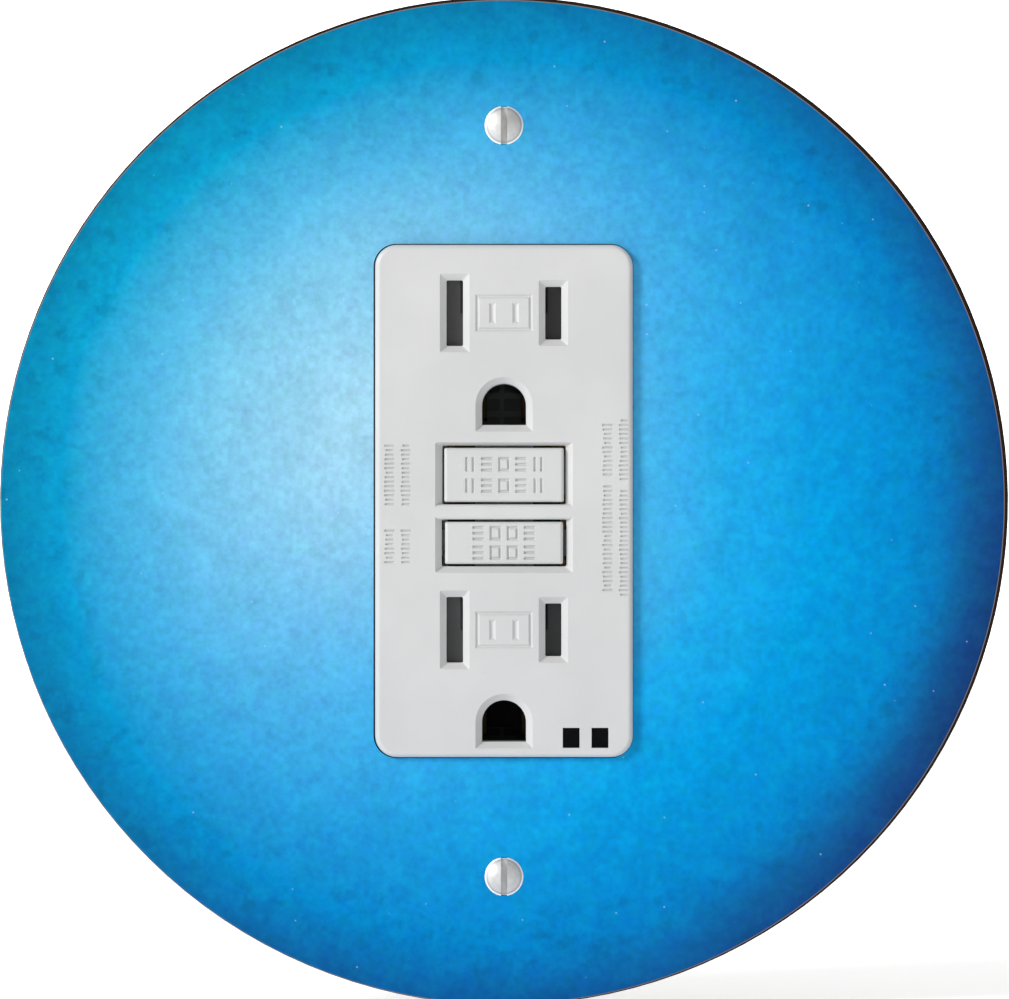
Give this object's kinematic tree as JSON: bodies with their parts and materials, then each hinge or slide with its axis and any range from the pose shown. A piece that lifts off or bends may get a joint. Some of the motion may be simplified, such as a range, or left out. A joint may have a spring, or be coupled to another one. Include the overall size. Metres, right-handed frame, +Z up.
{
  "type": "gfci outlet",
  "caption": "Ground-fault outlet with paired shuttered sockets, reset and test buttons, status windows and a round board wall plate held by slotted screws.",
  "frame": {"origin": "device centre on the wall's surface, midway between the two box-mounting screws", "axes": "+X to the right seen from the room, +Y into the wall, +Z up"},
  "size_m": [0.13, 0.0357, 0.13],
  "materials": {
    "printed_board": "glossy printed front in graded sky blue, dark burnt edge",
    "face_plastic": "white, semi-gloss",
    "button_plastic": "white, semi-gloss",
    "shutter_plastic": "dark grey",
    "tray_plastic": "natural nylon",
    "window_plastic": "smoked, almost black",
    "housing_plastic": "pale grey moulded",
    "deck_plastic": "black moulded",
    "carriage_plastic": "ochre nylon",
    "nickel": "polished nickel plate",
    "zinc_steel": "bright zinc plate",
    "brass": "stamped",
    "silvered": "nickel-plated brass",
    "green_steel": "green dyed zinc",
    "spring_steel": "bright wire",
    "bronze": "spring bronze",
    "board_green": "solder-masked laminate",
    "led_resin": "clear resin",
    "varistor_blue": "dipped epoxy",
    "capacitor_yellow": "moulded box",
    "chip_black": "moulded",
    "core_iron": "coated ring",
    "copper_wire": "enamelled copper"
  },
  "bodies": {
    "device": {"wall_plate": "printed_board", "plate_screws": "nickel", "front_cover": "face_plastic", "reset_spring": "spring_steel", "test_spring": "spring_steel", "test_contact_blade": "bronze", "status_light_pipe": "window_plastic", "status_leds": "led_resin", "mounting_strap": "zinc_steel", "ground_contacts": "brass", "box_mounting_screws": "zinc_steel", "middle_deck": "deck_plastic", "hot_bus": "brass", "neutral_bus": "silvered", "rear_housing": "housing_plastic", "assembly_screws": "zinc_steel", "circuit_board": "board_green", "surge_varistor": "varistor_blue", "filter_capacitor": "capacitor_yellow", "silicon_switch": "chip_black", "diodes": "chip_black", "sensing_chip": "chip_black", "transformer_housing": "deck_plastic", "ground_fault_core": "core_iron", "grounded_neutral_core": "core_iron", "line_conductors": "copper_wire", "solenoid_frame": "zinc_steel", "solenoid_bobbin": "tray_plastic", "solenoid_coil": "copper_wire", "plunger_spring": "spring_steel", "shutter_tray_upper": "tray_plastic", "shutter_spring_upper": "spring_steel", "shutter_tray_lower": "tray_plastic", "shutter_spring_lower": "spring_steel", "terminal_strap_line_hot": "brass", "terminal_strap_line_neutral": "silvered", "terminal_strap_load_hot": "brass", "terminal_strap_load_neutral": "silvered"},
    "reset_assembly": {"reset_button": "button_plastic", "reset_pin": "zinc_steel"},
    "test_assembly": {"test_button": "button_plastic"},
    "ground_screw": {"ground_screw": "green_steel"},
    "solenoid_plunger": {"solenoid_plunger": "zinc_steel"},
    "latch": {"latch": "zinc_steel"},
    "contact_carriage": {"contact_carriage": "carriage_plastic", "moving_contacts": "brass"},
    "shutter_upper_hot": {"shutter_upper_hot": "shutter_plastic"},
    "shutter_upper_neutral": {"shutter_upper_neutral": "shutter_plastic"},
    "shutter_lower_hot": {"shutter_lower_hot": "shutter_plastic"},
    "shutter_lower_neutral": {"shutter_lower_neutral": "shutter_plastic"},
    "terminal_screw_line_hot": {"terminal_screw_line_hot": "brass"},
    "clamp_plate_line_hot": {"clamp_plate_line_hot": "brass"},
    "terminal_screw_line_neutral": {"terminal_screw_line_neutral": "silvered"},
    "clamp_plate_line_neutral": {"clamp_plate_line_neutral": "silvered"},
    "terminal_screw_load_hot": {"terminal_screw_load_hot": "brass"},
    "clamp_plate_load_hot": {"clamp_plate_load_hot": "brass"},
    "terminal_screw_load_neutral": {"terminal_screw_load_neutral": "silvered"},
    "clamp_plate_load_neutral": {"clamp_plate_load_neutral": "silvered"}
  },
  "joints": [
    {"name": "reset_press", "type": "slide", "parent": "device", "child": "reset_assembly", "axis": [0, 1, 0], "range_m": [-0.0012, 0.001], "stiffness_N_per_m": 600, "deforming": ["reset_spring"]},
    {"name": "test_press", "type": "slide", "parent": "device", "child": "test_assembly", "axis": [0, 1, 0], "range_m": [0, 0.001], "stiffness_N_per_m": 600, "deforming": ["test_spring", "test_contact_blade"]},
    {"name": "upper_hot_shutter_slide", "type": "slide", "parent": "device", "child": "shutter_upper_hot", "axis": [-1, 0, 0], "range_m": [0, 0.003], "stiffness_N_per_m": 40, "deforming": ["shutter_spring_upper"]},
    {"name": "upper_neutral_shutter_slide", "type": "slide", "parent": "device", "child": "shutter_upper_neutral", "axis": [1, 0, 0], "range_m": [0, 0.003], "stiffness_N_per_m": 40},
    {"name": "lower_hot_shutter_slide", "type": "slide", "parent": "device", "child": "shutter_lower_hot", "axis": [-1, 0, 0], "range_m": [0, 0.003], "stiffness_N_per_m": 40, "deforming": ["shutter_spring_lower"]},
    {"name": "lower_neutral_shutter_slide", "type": "slide", "parent": "device", "child": "shutter_lower_neutral", "axis": [1, 0, 0], "range_m": [0, 0.003], "stiffness_N_per_m": 40},
    {"name": "line_hot_screw_turn", "type": "hinge", "parent": "device", "child": "terminal_screw_line_hot", "pos_m": [0.019, 0.018, 0.016], "axis": [-1, 0, 0], "range_deg": [0, 1320]},
    {"name": "line_hot_clamp_slide", "type": "slide", "parent": "device", "child": "clamp_plate_line_hot", "axis": [1, 0, 0], "range_m": [0, 0.0029]},
    {"name": "line_neutral_screw_turn", "type": "hinge", "parent": "device", "child": "terminal_screw_line_neutral", "pos_m": [-0.019, 0.018, 0.016], "axis": [1, 0, 0], "range_deg": [0, 1320]},
    {"name": "line_neutral_clamp_slide", "type": "slide", "parent": "device", "child": "clamp_plate_line_neutral", "axis": [-1, 0, 0], "range_m": [0, 0.0029]},
    {"name": "load_hot_screw_turn", "type": "hinge", "parent": "device", "child": "terminal_screw_load_hot", "pos_m": [0.019, 0.018, -0.016], "axis": [-1, 0, 0], "range_deg": [0, 1320]},
    {"name": "load_hot_clamp_slide", "type": "slide", "parent": "device", "child": "clamp_plate_load_hot", "axis": [1, 0, 0], "range_m": [0, 0.0029]},
    {"name": "load_neutral_screw_turn", "type": "hinge", "parent": "device", "child": "terminal_screw_load_neutral", "pos_m": [-0.019, 0.018, -0.016], "axis": [1, 0, 0], "range_deg": [0, 1320]},
    {"name": "load_neutral_clamp_slide", "type": "slide", "parent": "device", "child": "clamp_plate_load_neutral", "axis": [-1, 0, 0], "range_m": [0, 0.0029]},
    {"name": "ground_screw_travel", "type": "slide", "parent": "device", "child": "ground_screw", "axis": [-1, 0, 0], "range_m": [0, 0.004]},
    {"name": "solenoid_stroke", "type": "slide", "parent": "device", "child": "solenoid_plunger", "axis": [0, 0, -1], "range_m": [0, 0.002], "stiffness_N_per_m": 120, "deforming": ["plunger_spring"]},
    {"name": "latch_slide", "type": "slide", "parent": "device", "child": "latch", "axis": [0, 0, -1], "range_m": [0, 0.002]},
    {"name": "carriage_trip", "type": "slide", "parent": "device", "child": "contact_carriage", "axis": [0, 1, 0], "range_m": [0, 0.0016], "stiffness_N_per_m": 300}
  ],
  "couplings": [
    {"joint": "upper_neutral_shutter_slide", "follows": "upper_hot_shutter_slide", "ratio": 1},
    {"joint": "lower_neutral_shutter_slide", "follows": "lower_hot_shutter_slide", "ratio": 1},
    {"joint": "line_hot_screw_turn", "follows": "line_hot_clamp_slide", "rad_per_m": 7915.8},
    {"joint": "line_neutral_screw_turn", "follows": "line_neutral_clamp_slide", "rad_per_m": 7915.8},
    {"joint": "load_hot_screw_turn", "follows": "load_hot_clamp_slide", "rad_per_m": 7915.8},
    {"joint": "load_neutral_screw_turn", "follows": "load_neutral_clamp_slide", "rad_per_m": 7915.8},
    {"joint": "latch_slide", "follows": "solenoid_stroke", "ratio": 1}
  ]
}
